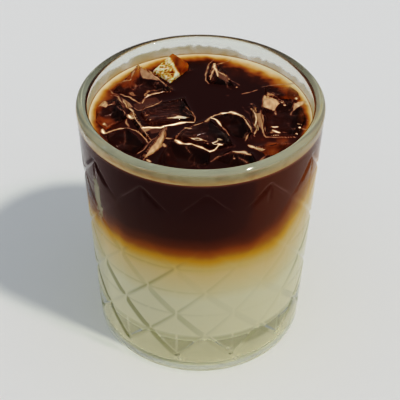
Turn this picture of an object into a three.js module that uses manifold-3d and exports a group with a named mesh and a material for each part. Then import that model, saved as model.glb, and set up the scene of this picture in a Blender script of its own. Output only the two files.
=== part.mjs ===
// Espresso tonic in a cut-glass tumbler: coffee floating on tonic water, with ice at the surface.
// Millimetres, +Z up. The origin is the centre of the flat foot, on the table.
// An azimuth of 0 points to -Y, the side that is seen from the front, and grows towards +X.

import * as THREE from 'three';
import { mergeVertices } from 'three/addons/utils/BufferGeometryUtils.js';
import Module from 'manifold-3d';

const wasm = await Module();
wasm.setup();

// Tumbler body
const GLASS_HEIGHT = 93.4;
const RIM_RADIUS = 41;
const FOOT_RADIUS = 36.8;
const WALL = 3.64;
const FLOOR_HEIGHT = 13.5;
const FLOOR_CORNER_RADIUS = 6;
const HEEL_RADIUS = 3.2;
const FOOT_RING_WIDTH = 5.5;
const FOOT_RECESS = 0.8;
const LIP_RADIUS = WALL / 2;
const LIP_HEIGHT = GLASS_HEIGHT - LIP_RADIUS;

// Cut lattice: columns round the wall and rows up it. Two main cuts cross at every second node.
const COLUMNS = 24;
const COLUMN_STEP = (2 * Math.PI) / COLUMNS;
const FIRST_COLUMN = -COLUMN_STEP * 0.8;
const ROWS = 7;
const ROW_STEP = 10.7;
const FIRST_ROW = 9.2;
const MAIN_CUT_HALF_WIDTH = 1.05;
const MAIN_CUT_DEPTH = 0.9;
const FINE_CUT_HALF_WIDTH = 0.5;
const FINE_CUT_DEPTH = 0.35;
const CUT_END = 1.3;

// Drink
const DRINK_LEVEL = 86.6;
const DRINK_CLEARANCE = 0.3;
const LAYER_GAP = 0.5;
const LAYER_HEIGHT = 56;
const LAYER_RISE = 16;
const LAYER_RISE_START = 16;
const LAYER_RISE_LENGTH = 20;
const LAYER_RISE_POWER = 2.2;
const LAYER_RINGS = [0.94, 0.86, 0.76, 0.64, 0.5, 0.25];

// Ice
const ICE_CLEARANCE = 0.35;
const ICE_DEPTH = 17;
const ICE_BEVEL = 0.9;
const ICE_TAPER = 0.8;
const ICE_HEADROOM = 6;

// Roundness: the facets of a turned surface, and of one quarter of a rounded corner
const SEGMENTS = 2 * COLUMNS;
const CORNER_STEPS = 4;

// Each piece of ice: its corners at the drink's level, how far its middle stands above that level,
// how its top slopes towards +X and +Y, and its depth below the level.
const ICE_PIECES = [
  { corners: [[-10, 33.5], [-17, 24.6], [-10.5, 18], [-4, 27]], rise: 2.4, slope: [0.1, 0.13] },
  { corners: [[-22, 28], [-30, 13.5], [-20.5, 8], [-9.5, 13.5], [-12.5, 18]], rise: 1.1, slope: [0.03, 0.08] },
  { corners: [[-19, 4], [-20, -1], [-16.8, -7], [-3, -4], [-2, -2], [-5.5, 9]], rise: 1, slope: [-0.04, -0.1] },
  { corners: [[-35, 4], [-34.6, -5], [-31, -9.5], [-27, -6.5], [-24.2, -2.5], [-27.6, 8.2]], rise: 1, slope: [0.1, 0] },
  { corners: [[-25.5, 7.5], [-23, -3.5], [-18.5, -13], [-15.8, -14.3], [-17.8, -9.5], [-22.8, 2.5]], rise: 1.2,
    slope: [0.1, 0.04] },
  { corners: [[-30.3, -12], [-30, -15], [-26, -20.6], [-20.5, -22.6], [-17.6, -17], [-24, -9]], rise: 1,
    slope: [0.06, 0.06] },
  { corners: [[-11.5, -8], [-18.8, -23.2], [-17.6, -25], [-13.2, -20], [-10.8, -12]], rise: 1.3, slope: [0.12, 0.02] },
  { corners: [[-3.5, -6.8], [-9, -14], [5, -19.8], [10.3, -17.3], [9, -12], [3, -3.2]], rise: 1.1,
    slope: [-0.02, -0.1] },
  { corners: [[4.6, -2.2], [10.6, -12.2], [15, -14.5], [17, -10], [15, -2.5], [10, 0.8]], rise: 1, slope: [0.05, 0.08] },
  { corners: [[16.9, -1], [18.2, -9.5], [19, -9], [18.6, 4], [17.2, 5.5]], rise: 1.2, slope: [0.1, 0.03] },
  { corners: [[20.8, 7.4], [19.9, -1.5], [21, -12], [32, -11.7], [34.8, -3], [34.2, 4], [29, 7]], rise: 1.2,
    slope: [-0.03, 0.07], depth: 10 },
  { corners: [[22, 9.6], [33.8, 8.6], [33.2, 12.5], [30.8, 16.8], [21.8, 16]], rise: 0.9, slope: [0.04, -0.1],
    depth: 10 },
  { corners: [[4.2, 29.6], [2, 21], [3, 18.5], [11.5, 16.5], [6.2, 29.2]], rise: 1.2, slope: [-0.12, 0.06] },
  { corners: [[4.5, -24.4], [10, -28.4], [17.6, -26], [16.5, -22], [10, -20.9]], rise: 0.9, slope: [0, 0.12] },
  { corners: [[17.2, -18], [20.8, -22.8], [24.3, -22], [28.2, -15.8], [22, -17.2]], rise: 0.8, slope: [0.03, 0.1],
    depth: 12 },
  { corners: [[-9.5, -16], [-11.6, -20.5], [-13.4, -27], [-5.5, -29.4], [2.8, -27.6], [3.2, -21.5]], rise: 0.9,
    slope: [0.02, 0.11] },
];

function materialOf(color, roughness, opacity = 1) {
  return new THREE.MeshStandardMaterial({ color, roughness, metalness: 0, opacity, transparent: opacity < 1 });
}

const glassMaterial = () => materialOf(0xd5dacb, 0.05, 0.35);
const tonicMaterial = () => materialOf(0xbfb98d, 0.3);
const coffeeMaterial = () => materialOf(0x2b120c, 0.1);
const iceMaterial = () => materialOf(0xc9b8a8, 0.08, 0.5);

// Radius of the outer wall, before it is cut
function outerRadius(height) {
  return THREE.MathUtils.lerp(FOOT_RADIUS, RIM_RADIUS, height / LIP_HEIGHT);
}

// Radius of the inner wall, above its rounded corner
function innerRadius(height) {
  return outerRadius(height) - WALL;
}

function polarPoint(azimuth, radius, height) {
  return new THREE.Vector3(radius * Math.sin(azimuth), -radius * Math.cos(azimuth), height);
}

// A closed surface, gathered triangle by triangle from points that its neighbours share
class Surface {
  constructor() {
    this.positions = [];
  }

  triangle(a, b, c) {
    for (const point of [a, b, c]) this.positions.push(point.x, point.y, point.z);
  }

  // A strip between two rings of points that both run round the axis, seen from outside
  strip(lower, upper) {
    let low = 0;
    let high = 0;
    while (low < lower.length || high < upper.length) {
      const nextLow = azimuthAfter(lower, low + 1);
      const nextHigh = azimuthAfter(upper, high + 1);
      const lowPoint = lower[low % lower.length];
      const highPoint = upper[high % upper.length];
      const lowStep = low < lower.length && (high >= upper.length || nextLow <= nextHigh + 1e-9);
      if (lowStep) {
        this.triangle(lowPoint, lower[(low + 1) % lower.length], highPoint);
        low += 1;
      } else {
        this.triangle(lowPoint, upper[(high + 1) % upper.length], highPoint);
        high += 1;
      }
    }
  }

  // A run of strips from ring to ring, in the order in which an outside hand would stroke them upwards
  strips(rings) {
    for (let index = 1; index < rings.length; index += 1) this.strip(rings[index - 1], rings[index]);
  }

  // A flat or domed end, fanned from its middle point; faces up or down
  cap(ring, middle, facesUp) {
    ring.forEach((point, index) => {
      const next = ring[(index + 1) % ring.length];
      if (facesUp) this.triangle(point, next, middle);
      else this.triangle(next, point, middle);
    });
  }

  geometry() {
    const geometry = new THREE.BufferGeometry();
    geometry.setAttribute('position', new THREE.Float32BufferAttribute(this.positions, 3));
    return mergeVertices(geometry, 1e-4);
  }
}

// The azimuth of a ring's point, counted on past one full turn
function azimuthAfter(ring, index) {
  const turns = Math.floor(index / ring.length);
  return ring.azimuths[index % ring.length] + turns * 2 * Math.PI;
}

// A ring of points at the given azimuths; radius and height are numbers or functions of the azimuth
function ringAt(azimuths, radius, height) {
  const value = (source, azimuth) => (typeof source === 'function' ? source(azimuth) : source);
  const ring = azimuths.map((azimuth) => polarPoint(azimuth, value(radius, azimuth), value(height, azimuth)));
  ring.azimuths = azimuths;
  return ring;
}

const EVEN_AZIMUTHS = Array.from({ length: SEGMENTS }, (_, index) => FIRST_COLUMN + (index * COLUMN_STEP) / 2);

function ring(radius, height) {
  return ringAt(EVEN_AZIMUTHS, radius, height);
}

// Rings along an arc in the section plane, from one angle to another, both ends included
function arcRings(centreRadius, centreHeight, arcRadius, fromAngle, toAngle, steps) {
  return Array.from({ length: steps + 1 }, (_, index) => {
    const angle = THREE.MathUtils.lerp(fromAngle, toAngle, index / steps);
    return ring(centreRadius + arcRadius * Math.cos(angle), centreHeight + arcRadius * Math.sin(angle));
  });
}

// Cut lattice

const CELL_WIDTH = outerRadius(GLASS_HEIGHT / 2) * COLUMN_STEP;
const MAIN_INSET = (MAIN_CUT_HALF_WIDTH * Math.SQRT2) / CELL_WIDTH;
const FINE_INSET = FINE_CUT_HALF_WIDTH / CELL_WIDTH;
const CROSSING_REACH = MAIN_INSET + FINE_INSET;

// Half of a lattice cell: the right triangle under a main cut that rises from corner (0, 0) to corner (1, 1).
// Each point is [across, up, depth of cut]; fine cuts run along its two legs unless those are plain.
function halfCell(legDepth) {
  const inset = FINE_INSET;
  const start = [0, 0, MAIN_CUT_DEPTH];
  const startReach = [CROSSING_REACH, 0, legDepth];
  const lowMiddle = [0.5, 0, legDepth];
  const corner = [1, 0, legDepth];
  const endReach = [1, 1 - CROSSING_REACH, legDepth];
  const end = [1, 1, MAIN_CUT_DEPTH];
  const middle = [0.5, 0.5, MAIN_CUT_DEPTH];
  const faceStart = [inset + MAIN_INSET, inset, 0];
  const faceLow = [0.5, inset, 0];
  const faceCorner = [1 - inset, inset, 0];
  const faceEnd = [1 - inset, 1 - inset - MAIN_INSET, 0];
  const faceMiddle = [0.5, 0.5 - MAIN_INSET, 0];
  return [
    [start, startReach, faceStart],
    [startReach, lowMiddle, faceLow],
    [startReach, faceLow, faceStart],
    [lowMiddle, corner, faceCorner],
    [lowMiddle, faceCorner, faceLow],
    [corner, endReach, faceEnd],
    [corner, faceEnd, faceCorner],
    [endReach, end, faceEnd],
    [end, middle, faceMiddle],
    [end, faceMiddle, faceEnd],
    [middle, start, faceStart],
    [middle, faceStart, faceMiddle],
    [faceStart, faceLow, faceMiddle],
    [faceLow, faceCorner, faceEnd],
    [faceLow, faceEnd, faceMiddle],
  ];
}

const turned = ([across, up, depth]) => [1 - across, 1 - up, depth];
const mirrored = ([across, up, depth]) => [1 - across, up, depth];

// The triangles of one cell. The lowest row has no fine cuts in its lower halves, the highest none in its upper.
function cellTriangles(column, row) {
  const lower = halfCell(row === 0 ? 0 : FINE_CUT_DEPTH);
  const upper = halfCell(row === ROWS - 1 ? 0 : FINE_CUT_DEPTH).map((triangle) => triangle.map(turned));
  const rising = (column + row) % 2 === 0;
  const triangles = [...lower, ...upper];
  return rising ? triangles : triangles.map(([a, b, c]) => [mirrored(a), mirrored(c), mirrored(b)]);
}

function latticePoint(column, row, [across, up, depth]) {
  const height = FIRST_ROW + (row + up) * ROW_STEP;
  const azimuth = FIRST_COLUMN + (column + across) * COLUMN_STEP;
  return polarPoint(azimuth, outerRadius(height) - depth, height);
}

function addLattice(surface) {
  for (let row = 0; row < ROWS; row += 1) {
    for (let column = 0; column < COLUMNS; column += 1) {
      for (const triangle of cellTriangles(column, row)) {
        surface.triangle(...triangle.map((point) => latticePoint(column, row, point)));
      }
    }
  }
}

// The ring of points along the lattice's lower or upper edge, where every second column ends in a cut's tip
function latticeEdge(row) {
  const azimuths = [];
  const depths = [];
  for (let column = 0; column < COLUMNS; column += 1) {
    const crossing = (column + row) % 2 === 0;
    const stops = crossing ? [0, CROSSING_REACH, 0.5] : [0, 0.5, 1 - CROSSING_REACH];
    for (const stop of stops) {
      azimuths.push(FIRST_COLUMN + (column + stop) * COLUMN_STEP);
      depths.push(crossing && stop === 0 ? MAIN_CUT_DEPTH : 0);
    }
  }
  const height = FIRST_ROW + row * ROW_STEP;
  const edge = azimuths.map((azimuth, index) => polarPoint(azimuth, outerRadius(height) - depths[index], height));
  edge.azimuths = azimuths;
  return edge;
}

function makeGlass() {
  const surface = new Surface();
  const latticeTop = FIRST_ROW + ROWS * ROW_STEP;
  const footRing = outerRadius(HEEL_RADIUS) - HEEL_RADIUS;
  const recessEdge = footRing - FOOT_RING_WIDTH;
  const heel = arcRings(footRing, HEEL_RADIUS, HEEL_RADIUS, -Math.PI / 2, 0, CORNER_STEPS);
  const lip = arcRings(RIM_RADIUS - LIP_RADIUS, LIP_HEIGHT, LIP_RADIUS, 0, Math.PI, 2 * CORNER_STEPS);
  const cornerTop = FLOOR_HEIGHT + FLOOR_CORNER_RADIUS;
  const cornerCentre = innerRadius(cornerTop) - FLOOR_CORNER_RADIUS;
  const corner = arcRings(cornerCentre, cornerTop, FLOOR_CORNER_RADIUS, 0, -Math.PI / 2, CORNER_STEPS);

  surface.cap(ring(recessEdge - FOOT_RECESS, FOOT_RECESS), new THREE.Vector3(0, 0, FOOT_RECESS), false);
  surface.strips([
    ring(recessEdge - FOOT_RECESS, FOOT_RECESS),
    ring(recessEdge, 0),
    ...heel,
    ring(outerRadius(FIRST_ROW - CUT_END), FIRST_ROW - CUT_END),
    latticeEdge(0),
  ]);
  addLattice(surface);
  surface.strips([
    latticeEdge(ROWS),
    ring(outerRadius(latticeTop + CUT_END), latticeTop + CUT_END),
    ...lip,
    ...corner,
  ]);
  surface.cap(corner[corner.length - 1], new THREE.Vector3(0, 0, FLOOR_HEIGHT), true);
  return surface.geometry();
}

// Drink

// Height at which the coffee meets the tonic: level over most of the glass, higher towards +X
function layerHeight(x) {
  const along = THREE.MathUtils.clamp((x - LAYER_RISE_START) / LAYER_RISE_LENGTH, 0, 1);
  return LAYER_HEIGHT + LAYER_RISE * along ** LAYER_RISE_POWER;
}

function drinkRadius(height) {
  return innerRadius(height) - DRINK_CLEARANCE;
}

// The rings of the surface between the layers, from the wall inwards, shifted up or down by half the gap
function layerRings(shift) {
  const wallRadius = drinkRadius(LAYER_HEIGHT);
  const heightAt = (fraction) => (azimuth) => layerHeight(fraction * wallRadius * Math.sin(azimuth)) + shift;
  const edge = ring((azimuth) => drinkRadius(heightAt(1)(azimuth)), heightAt(1));
  return [edge, ...LAYER_RINGS.map((fraction) => ring(fraction * wallRadius, heightAt(fraction)))];
}

function makeTonic() {
  const surface = new Surface();
  const cornerTop = FLOOR_HEIGHT + FLOOR_CORNER_RADIUS;
  const cornerRadius = FLOOR_CORNER_RADIUS - DRINK_CLEARANCE;
  const cornerCentre = drinkRadius(cornerTop) - cornerRadius;
  const corner = arcRings(cornerCentre, cornerTop, cornerRadius, -Math.PI / 2, 0, CORNER_STEPS);
  const rings = layerRings(-LAYER_GAP / 2);
  surface.cap(corner[0], new THREE.Vector3(0, 0, FLOOR_HEIGHT + DRINK_CLEARANCE), false);
  surface.strips([...corner, ...rings]);
  surface.cap(rings[rings.length - 1], new THREE.Vector3(0, 0, layerHeight(0) - LAYER_GAP / 2), true);
  return surface.geometry();
}

function makeCoffee() {
  const surface = new Surface();
  const rings = layerRings(LAYER_GAP / 2).reverse();
  const top = ring(drinkRadius(DRINK_LEVEL), DRINK_LEVEL);
  surface.cap(rings[0], new THREE.Vector3(0, 0, layerHeight(0) + LAYER_GAP / 2), false);
  surface.strips([...rings, top]);
  surface.cap(top, new THREE.Vector3(0, 0, DRINK_LEVEL), true);
  return ICE_PIECES.reduce(
    (solid, piece) => solid.subtract(toSolid(makeIce(piece, ICE_CLEARANCE, ICE_HEADROOM))),
    toSolid(surface.geometry()),
  );
}

// Ice

// A convex outline moved outwards by a distance; the corners run anticlockwise
function grownOutline(corners, distance) {
  const points = corners.map(([x, y]) => new THREE.Vector2(x, y));
  const outward = points.map((point, index) => {
    const along = points[(index + 1) % points.length].clone().sub(point).normalize();
    return new THREE.Vector2(along.y, -along.x);
  });
  return points.map((point, index) => {
    const before = outward[(index + points.length - 1) % points.length];
    const after = outward[index];
    const bisector = before.clone().add(after).normalize();
    return point.clone().addScaledVector(bisector, distance / bisector.dot(after));
  });
}

// A block of ice with bevelled edges, narrower at its foot, its top sloping across it
function makeIce({ corners, rise, slope, depth = ICE_DEPTH }, growth = 0, headroom = 0) {
  const bottom = DRINK_LEVEL - depth;
  const height = depth + rise;
  const outline = grownOutline(corners, growth);
  const centre = outline.reduce((sum, point) => sum.add(point), new THREE.Vector2()).divideScalar(outline.length);
  const bevel = ICE_BEVEL;
  const geometry = new THREE.ExtrudeGeometry(new THREE.Shape(outline), {
    depth: height + growth + headroom - 2 * bevel,
    bevelSize: bevel / 2,
    bevelOffset: -bevel / 2,
    bevelThickness: bevel,
    bevelSegments: 1,
    steps: 1,
  });
  geometry.translate(0, 0, bottom - growth + bevel);
  const position = geometry.getAttribute('position');
  for (let index = 0; index < position.count; index += 1) {
    const upward = (position.getZ(index) - bottom) / height;
    const spread = THREE.MathUtils.lerp(ICE_TAPER, 1, upward);
    const x = position.getX(index) - centre.x;
    const y = position.getY(index) - centre.y;
    const tilt = upward * (slope[0] * x + slope[1] * y);
    position.setXYZ(index, centre.x + x * spread, centre.y + y * spread, position.getZ(index) + tilt);
  }
  return geometry;
}

// Solids and meshes

function toSolid(source) {
  const geometry = source.clone();
  geometry.deleteAttribute('normal');
  geometry.deleteAttribute('uv');
  const merged = mergeVertices(geometry, 1e-4);
  return new wasm.Manifold(new wasm.Mesh({
    numProp: 3,
    vertProperties: new Float32Array(merged.getAttribute('position').array),
    triVerts: new Uint32Array(merged.index.array),
  }));
}

function toGeometry(solid) {
  const mesh = solid.getMesh();
  const geometry = new THREE.BufferGeometry();
  geometry.setAttribute('position', new THREE.BufferAttribute(mesh.vertProperties, 3));
  geometry.setIndex(new THREE.BufferAttribute(mesh.triVerts, 1));
  return geometry;
}

function addMesh(group, name, geometry, material) {
  geometry.computeVertexNormals();
  const mesh = new THREE.Mesh(geometry, material);
  mesh.name = name;
  group.add(mesh);
}

const drink = new THREE.Group();
addMesh(drink, 'glass', makeGlass(), glassMaterial());
addMesh(drink, 'tonic', makeTonic(), tonicMaterial());
addMesh(drink, 'coffee', toGeometry(makeCoffee()), coffeeMaterial());
ICE_PIECES.forEach((piece, index) => {
  const name = `ice_${String(index + 1).padStart(2, '0')}`;
  addMesh(drink, name, toGeometry(toSolid(makeIce(piece))), iceMaterial());
});

export default drink;
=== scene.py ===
# Espresso tonic in a cut-glass tumbler: the finish of the glass, of the drink's two layers and of the ice.
# Lengths are in millimetres until a mesh is made, which turns them into Blender's metres.
# An azimuth of 0 points to -Y, towards the camera, and grows towards +X.

import math

import bpy
import numpy as np
from mathutils import Matrix, Vector, noise


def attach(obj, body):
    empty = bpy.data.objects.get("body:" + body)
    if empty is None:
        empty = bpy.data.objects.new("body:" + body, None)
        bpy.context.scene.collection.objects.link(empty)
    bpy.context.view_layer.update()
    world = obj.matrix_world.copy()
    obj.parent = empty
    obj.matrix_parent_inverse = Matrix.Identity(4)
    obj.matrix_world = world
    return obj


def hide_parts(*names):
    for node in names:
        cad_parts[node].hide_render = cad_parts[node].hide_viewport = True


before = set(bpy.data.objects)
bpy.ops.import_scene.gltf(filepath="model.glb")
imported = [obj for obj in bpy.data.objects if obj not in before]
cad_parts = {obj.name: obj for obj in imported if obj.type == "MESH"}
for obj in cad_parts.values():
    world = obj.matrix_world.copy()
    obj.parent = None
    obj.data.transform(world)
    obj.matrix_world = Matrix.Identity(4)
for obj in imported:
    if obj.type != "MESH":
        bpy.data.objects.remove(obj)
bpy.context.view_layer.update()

MM = 0.001

# Tumbler, with the sizes of the solid that it replaces
GLASS_HEIGHT = 93.4
RIM_RADIUS = 41.0
FOOT_RADIUS = 36.8
WALL = 3.64
FLOOR_HEIGHT = 13.5
FLOOR_CORNER_RADIUS = 6.0
HEEL_RADIUS = 3.2
FOOT_RING_WIDTH = 5.5
FOOT_RECESS = 0.8
LIP_RADIUS = WALL / 2
LIP_HEIGHT = GLASS_HEIGHT - LIP_RADIUS

# Cut lattice
COLUMNS = 24
COLUMN_STEP = 2 * math.pi / COLUMNS
FIRST_COLUMN = -0.8 * COLUMN_STEP
ROWS = 7
ROW_STEP = 10.7
FIRST_ROW = 9.2
CELL_WIDTH = (FOOT_RADIUS + RIM_RADIUS) / 2 * COLUMN_STEP
MAIN_CUT_HALF_WIDTH = 1.05
MAIN_CUT_DEPTH = 0.75
FINE_CUT_HALF_WIDTH = 0.55
FINE_CUT_DEPTH = 0.35
CELL_STEPS = 16

# Drink
DRINK_LEVEL = 86.6
REACH_INTO_WALL = 0.12
LAYER_HEIGHT = 56.0
LAYER_RISE = 16.0
LAYER_RISE_START = 16.0
LAYER_RISE_LENGTH = 20.0
LAYER_RISE_POWER = 2.2

# Sunlight: its azimuth is turned from +X towards +Y
SUN_AZIMUTH = math.radians(-33)
SUN_ELEVATION = math.radians(54)
SUN_STRENGTH = 1.42
SUN_WIDTH = math.radians(4)
SUN_TINT = (1.0, 0.93, 0.85)
SUN_DIRECTION = np.array([
    math.cos(SUN_AZIMUTH) * math.cos(SUN_ELEVATION),
    math.sin(SUN_AZIMUTH) * math.cos(SUN_ELEVATION),
    math.sin(SUN_ELEVATION),
])


# Meshes


def link(obj):
    bpy.context.scene.collection.objects.link(obj)
    return obj


def mesh_object(name, points, triangles):
    """A smooth-shaded object from points in millimetres and index triples."""
    mesh = bpy.data.meshes.new(name)
    mesh.vertices.add(len(points))
    mesh.vertices.foreach_set("co", (np.asarray(points) * MM).astype(np.float32).ravel())
    mesh.loops.add(3 * len(triangles))
    mesh.loops.foreach_set("vertex_index", np.asarray(triangles, np.int32).ravel())
    mesh.polygons.add(len(triangles))
    mesh.polygons.foreach_set("loop_start", np.arange(0, 3 * len(triangles), 3, dtype=np.int32))
    mesh.update(calc_edges=True)
    mesh.validate()
    mesh.polygons.foreach_set("use_smooth", np.ones(len(mesh.polygons), bool))
    return link(bpy.data.objects.new(name, mesh))


def paint(obj, name, values):
    """Stores one number for each vertex, for the materials to read."""
    attribute = obj.data.attributes.new(name, "FLOAT", "POINT")
    attribute.data.foreach_set("value", np.asarray(values, np.float32).ravel())


def points_of(obj):
    """The object's vertices in millimetres."""
    co = np.zeros(3 * len(obj.data.vertices), np.float32)
    obj.data.vertices.foreach_get("co", co)
    return co.reshape(-1, 3).astype(float) / MM


def normals_of(mesh):
    """The normals at a mesh's vertices."""
    normals = np.zeros(3 * len(mesh.vertices), np.float32)
    mesh.vertices.foreach_get("normal", normals)
    return normals.reshape(-1, 3).astype(float)


def triangles_of(mesh):
    """The three vertex numbers of each of a mesh's triangles."""
    corners = np.zeros(3 * len(mesh.polygons), np.int32)
    mesh.polygons.foreach_get("vertices", corners)
    return corners.reshape(-1, 3)


def use_second_material(mesh, chosen):
    mesh.polygons.foreach_set("material_index", chosen.astype(np.int32))


def azimuth_of(points):
    return np.arctan2(points[:, 0], -points[:, 1])


def polar(azimuth, radius, height):
    """Points from azimuths, radii and heights of one shape, as one list."""
    azimuth, radius, height = np.broadcast_arrays(azimuth, radius, height)
    return np.stack([radius * np.sin(azimuth), -radius * np.cos(azimuth), height], -1).reshape(-1, 3)


def closed_rings(rings, columns, falling=None):
    """Triangles of a closed surface of rings, capped at both ends by a middle point each.

    The rings run up the outside and down the inside. falling marks the quads split the other way."""
    row, column = np.meshgrid(np.arange(rings - 1), np.arange(columns), indexing="ij")
    after = (column + 1) % columns
    a = row * columns + column
    b = row * columns + after
    c = (row + 1) * columns + after
    d = (row + 1) * columns + column
    split = np.zeros(a.shape, bool) if falling is None else falling
    first = np.where(split[..., None], np.stack([a, b, d], -1), np.stack([a, b, c], -1))
    second = np.where(split[..., None], np.stack([b, c, d], -1), np.stack([a, c, d], -1))
    start, end = rings * columns, rings * columns + 1
    around = np.arange(columns)
    following = (around + 1) % columns
    last = (rings - 1) * columns
    foot = np.stack([following, around, np.full(columns, start)], -1)
    head = np.stack([last + around, last + following, np.full(columns, end)], -1)
    return np.concatenate([first.reshape(-1, 3), second.reshape(-1, 3), foot, head])


def smooth_step(low, high, value):
    """0 at low and 1 at high, with a soft change between them; low may be the larger."""
    t = np.clip((value - low) / (high - low), 0, 1)
    return t * t * (3 - 2 * t)


def noise_at(points, scale, seed):
    """Soft noise from -1 to 1 at each point, at a scale in millimetres."""
    offset = Vector((seed * 17.3, seed * 5.1, seed * 9.7))
    return np.array([noise.noise(Vector(point) / scale + offset) for point in points])


# Shape of the tumbler


def outer_radius(height):
    return FOOT_RADIUS + (RIM_RADIUS - FOOT_RADIUS) * height / LIP_HEIGHT


def inner_radius(height):
    return outer_radius(height) - WALL


def vee(distance, half_width, depth):
    return depth * np.clip(1 - distance / half_width, 0, 1)


def turned(azimuth):
    """The azimuth as an angle from -pi to pi."""
    return (azimuth + math.pi) % (2 * math.pi) - math.pi


def lattice(azimuth, height):
    """Distances in millimetres from a place on the wall to the nearest main, level and upright cuts.

    The last two values say whether the cell's main cut falls, and whether the place is in the lattice."""
    across = (azimuth - FIRST_COLUMN) / COLUMN_STEP
    up = (height - FIRST_ROW) / ROW_STEP
    across, up = np.broadcast_arrays(across, up)
    column = np.floor(across + 1e-6)
    row = np.clip(np.floor(up + 1e-6), 0, ROWS - 1)
    s = np.clip(across - column, 0, 1)
    t = np.clip(up - row, 0, 1)
    falling = (column + row) % 2 != 0
    s = np.where(falling, 1 - s, s)
    plain = ((row == 0) & (t <= s + 1e-6)) | ((row == ROWS - 1) & (t > s + 1e-6))
    to_main = np.abs(s - t) * CELL_WIDTH / math.sqrt(2)
    to_level = np.where(plain, ROW_STEP, np.minimum(t, 1 - t) * ROW_STEP)
    to_upright = np.where(plain, CELL_WIDTH, np.minimum(s, 1 - s) * CELL_WIDTH)
    inside = (up > -1e-6) & (up < ROWS + 1e-6)
    return to_main, to_level, to_upright, falling, inside


def cut_depth(azimuth, height):
    """How deep the lattice is cut at a place on the wall."""
    to_main, to_level, to_upright, _, inside = lattice(azimuth, height)
    fine = vee(np.minimum(to_level, to_upright), FINE_CUT_HALF_WIDTH, FINE_CUT_DEPTH)
    return inside * np.maximum(vee(to_main, MAIN_CUT_HALF_WIDTH, MAIN_CUT_DEPTH), fine)


def arc(centre_radius, centre_height, arc_radius, from_angle, to_angle, steps):
    angle = np.linspace(from_angle, to_angle, steps + 1)
    radius = centre_radius + arc_radius * np.cos(angle)
    height = centre_height + arc_radius * np.sin(angle)
    return np.stack([radius, height], -1)


def wall_line(from_height, to_height, steps, radius_at=outer_radius):
    height = np.linspace(from_height, to_height, steps + 1)
    return np.stack([radius_at(height), height], -1)


LIP_STEPS = 20
BRIM_STEPS = 18
WALL_STEPS = 20
CORNER_STEPS = 12
# How far beside a falling cut, in millimetres, its painted line of light lies
LIGHT_EDGE = 1.9
# Strength of the painted light on the lip
LIP_PAINTED_LIGHT = 0.5
# Strength of the painted light on the foot
HEEL_PAINTED_LIGHT = 0.7
# A painted glint down one upright cut over the coffee: its azimuth and width, and its strength, which the
# tip glints share
GLINT_AZIMUTH = math.radians(-57)
GLINT_WIDTH = math.radians(7)
GLINT_STRENGTH = 0.9
# Azimuths in degrees over which the cuts' painted light and shade changes to how it is painted at the
# right and at the left
CUTS_AT_RIGHT = (44, 66)
CUTS_AT_LEFT = (-34, -46)
# Painted shade in a band round the inner floor: its height, where it starts and ends in degrees, and how
# dark it is
FLOOR_BAND_HEIGHT = 15.6
FLOOR_BAND_START = (10, 24)
FLOOR_BAND_END = (82, 70)
FLOOR_BAND_SHADE = 0.42
# Painted shade on the facets of the lowest row
FACET_SHADE = 0.36
# Share of the cuts' slope that bends the light, seen from the front and at the sides
CUT_BEND = 0.25
CUT_BEND_AT_SIDES = 0.75
# Painted glints at tips of cuts that catch the sun: azimuth in degrees, height, and reach in millimetres
TIP_GLINTS = [(-10, 7.6, 0.9), (20.5, 6.3, 1.0), (16, 12.8, 0.8)]


def painted_cut_light_and_shade(azimuth, height):
    """How much painted shade, below 0, or painted light, above 0, makes the cuts look darker or lighter
    than the wall beside them.
    """
    to_main, to_level, to_upright, falling, inside = lattice(azimuth, height)
    beside = lattice(azimuth - LIGHT_EDGE / RIM_RADIUS, height)[0]
    sun_x, sun_y, _ = SUN_DIRECTION
    facing_light = sun_x * np.sin(azimuth) - sun_y * np.cos(azimuth)
    away = 1 - smooth_step(-0.35, 0.15, facing_light)
    degrees = np.degrees(turned(azimuth))
    at_right = smooth_step(*CUTS_AT_RIGHT, degrees)
    shown = 1 - 0.85 * smooth_step(0.0, 0.5, facing_light) * (1 - at_right)
    through_tonic = 1 - smooth_step(LAYER_HEIGHT - 5, LAYER_HEIGHT + 2, height)
    at_left = smooth_step(*CUTS_AT_LEFT, degrees)
    broad = smooth_step(1.7, 0.9, to_main)
    softer_above = 1 - 0.4 * (1 - away) * smooth_step(26, 34, height)
    softer_above = softer_above * (1 - 0.7 * smooth_step(36, 43, height))
    dark_falling = broad * (0.55 + 0.35 * away) * softer_above * (1 - 0.6 * at_right)
    dark_rising = vee(to_main, 1.0 + 0.4 * at_right, 0.5 + 0.25 * at_right - 0.35 * at_left)
    dark = np.where(falling, dark_falling, dark_rising)
    dark = np.maximum(dark, vee(to_level, 0.75, 0.22))
    light = np.where(falling, vee(beside, 0.8, 0.7) * (to_main > 1.3), 0)
    light = np.maximum(light, vee(to_upright, 0.8, 0.8))
    shade = shown * np.where(dark > light, -np.clip(dark, 0, 0.9), light)
    first_row = (height > FIRST_ROW) & (height < FIRST_ROW + ROW_STEP)
    facets = FACET_SHADE * first_row * (to_level < ROW_STEP)
    shade = np.minimum(shade, np.where(light > 0.4, shade, -facets))
    band = smooth_step(*FLOOR_BAND_START, degrees) * smooth_step(*FLOOR_BAND_END, degrees)
    to_band = np.abs(height - FLOOR_BAND_HEIGHT)
    shade = np.minimum(shade, -FLOOR_BAND_SHADE * band * smooth_step(3.4, 1.8, to_band))
    # A painted line of light above the foot's edge, and painted shade along its lowest part
    heel_light = 0.7 * smooth_step(2.2, 3.0, height) * smooth_step(4.6, 3.8, height)
    heel_dark = 0.5 * smooth_step(1.9, 1.2, height)
    return np.where(inside, through_tonic * shade, heel_light - heel_dark)


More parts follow.
